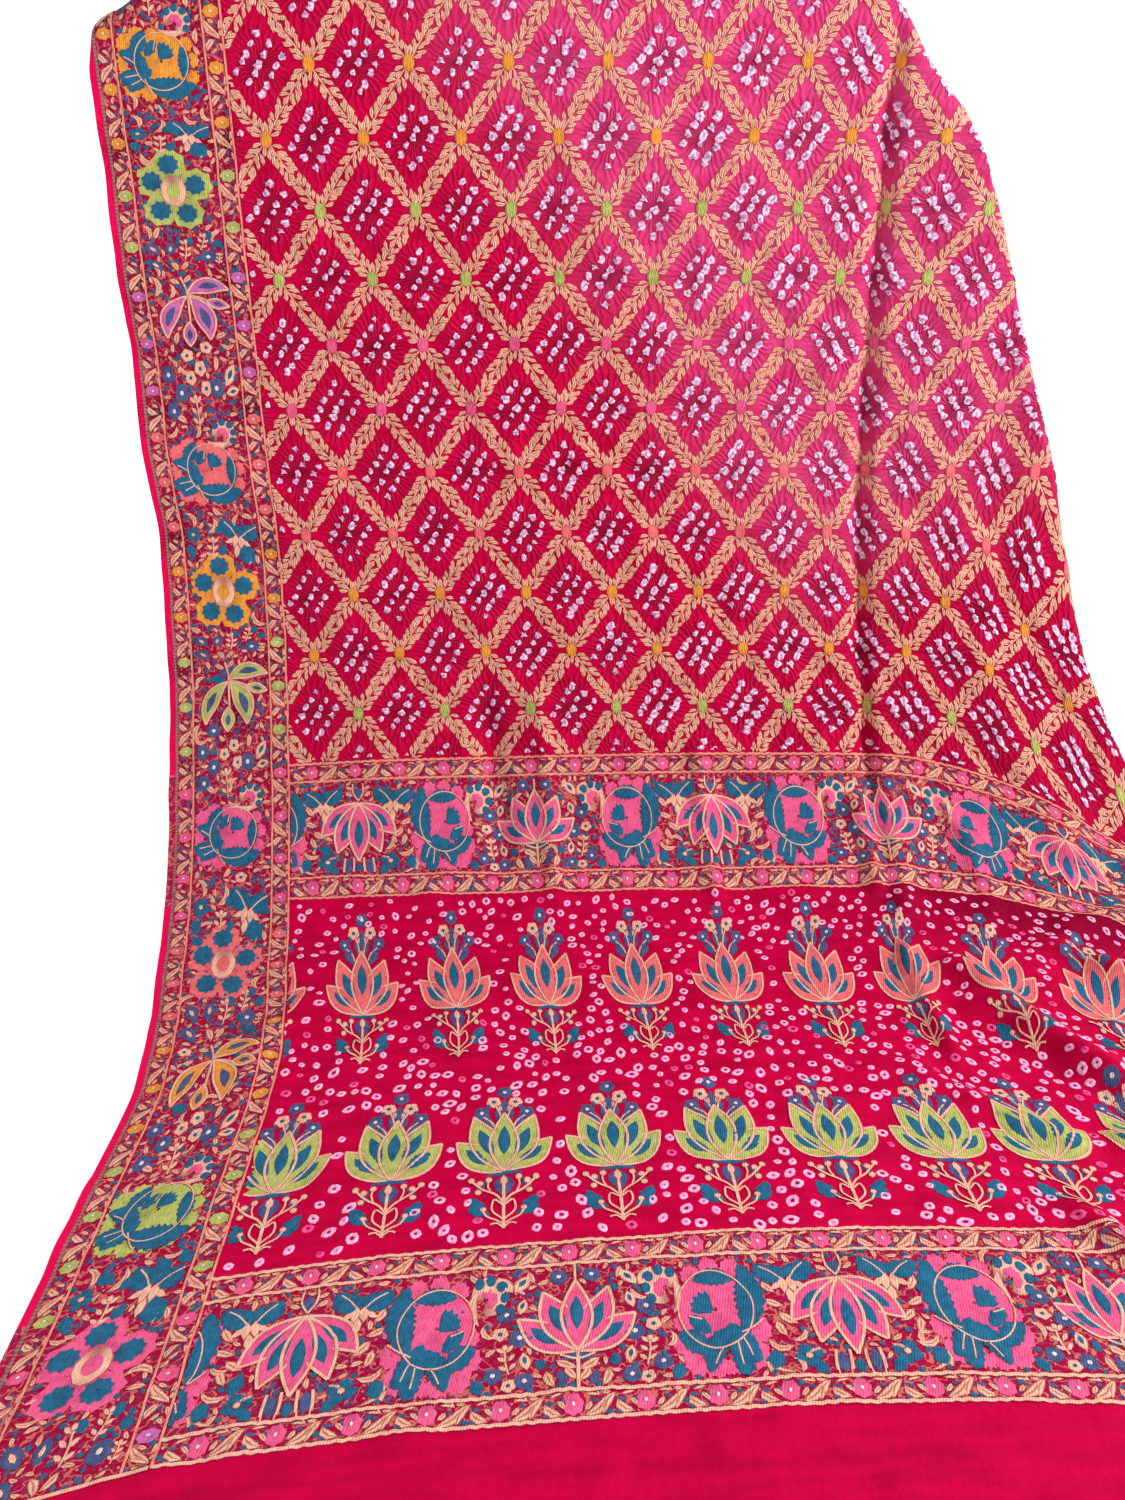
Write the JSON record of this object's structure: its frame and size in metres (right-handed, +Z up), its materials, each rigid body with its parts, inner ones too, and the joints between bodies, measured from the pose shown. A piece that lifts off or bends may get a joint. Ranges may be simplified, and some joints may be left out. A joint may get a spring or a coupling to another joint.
{
  "type": "hanging bandhani saree end",
  "caption": "Long tie-dyed silk cloth with woven borders, hung over a high edge, folded back along one side and spread forward on the floor.",
  "frame": {"origin": "on top of the crest from which the cloth hangs, in the middle of its front", "axes": "+Z up, +X along the crest to the viewer's right, -Y towards the viewer, where the cloth spreads on the floor"},
  "size_m": [1.2036, 0.8924, 0.6598],
  "materials": {
    "dyed_silk": "soft sheen, crinkled plain weave with woven motifs"
  },
  "bodies": {
    "root": {"saree_cloth": "dyed_silk"}
  },
  "joints": []
}
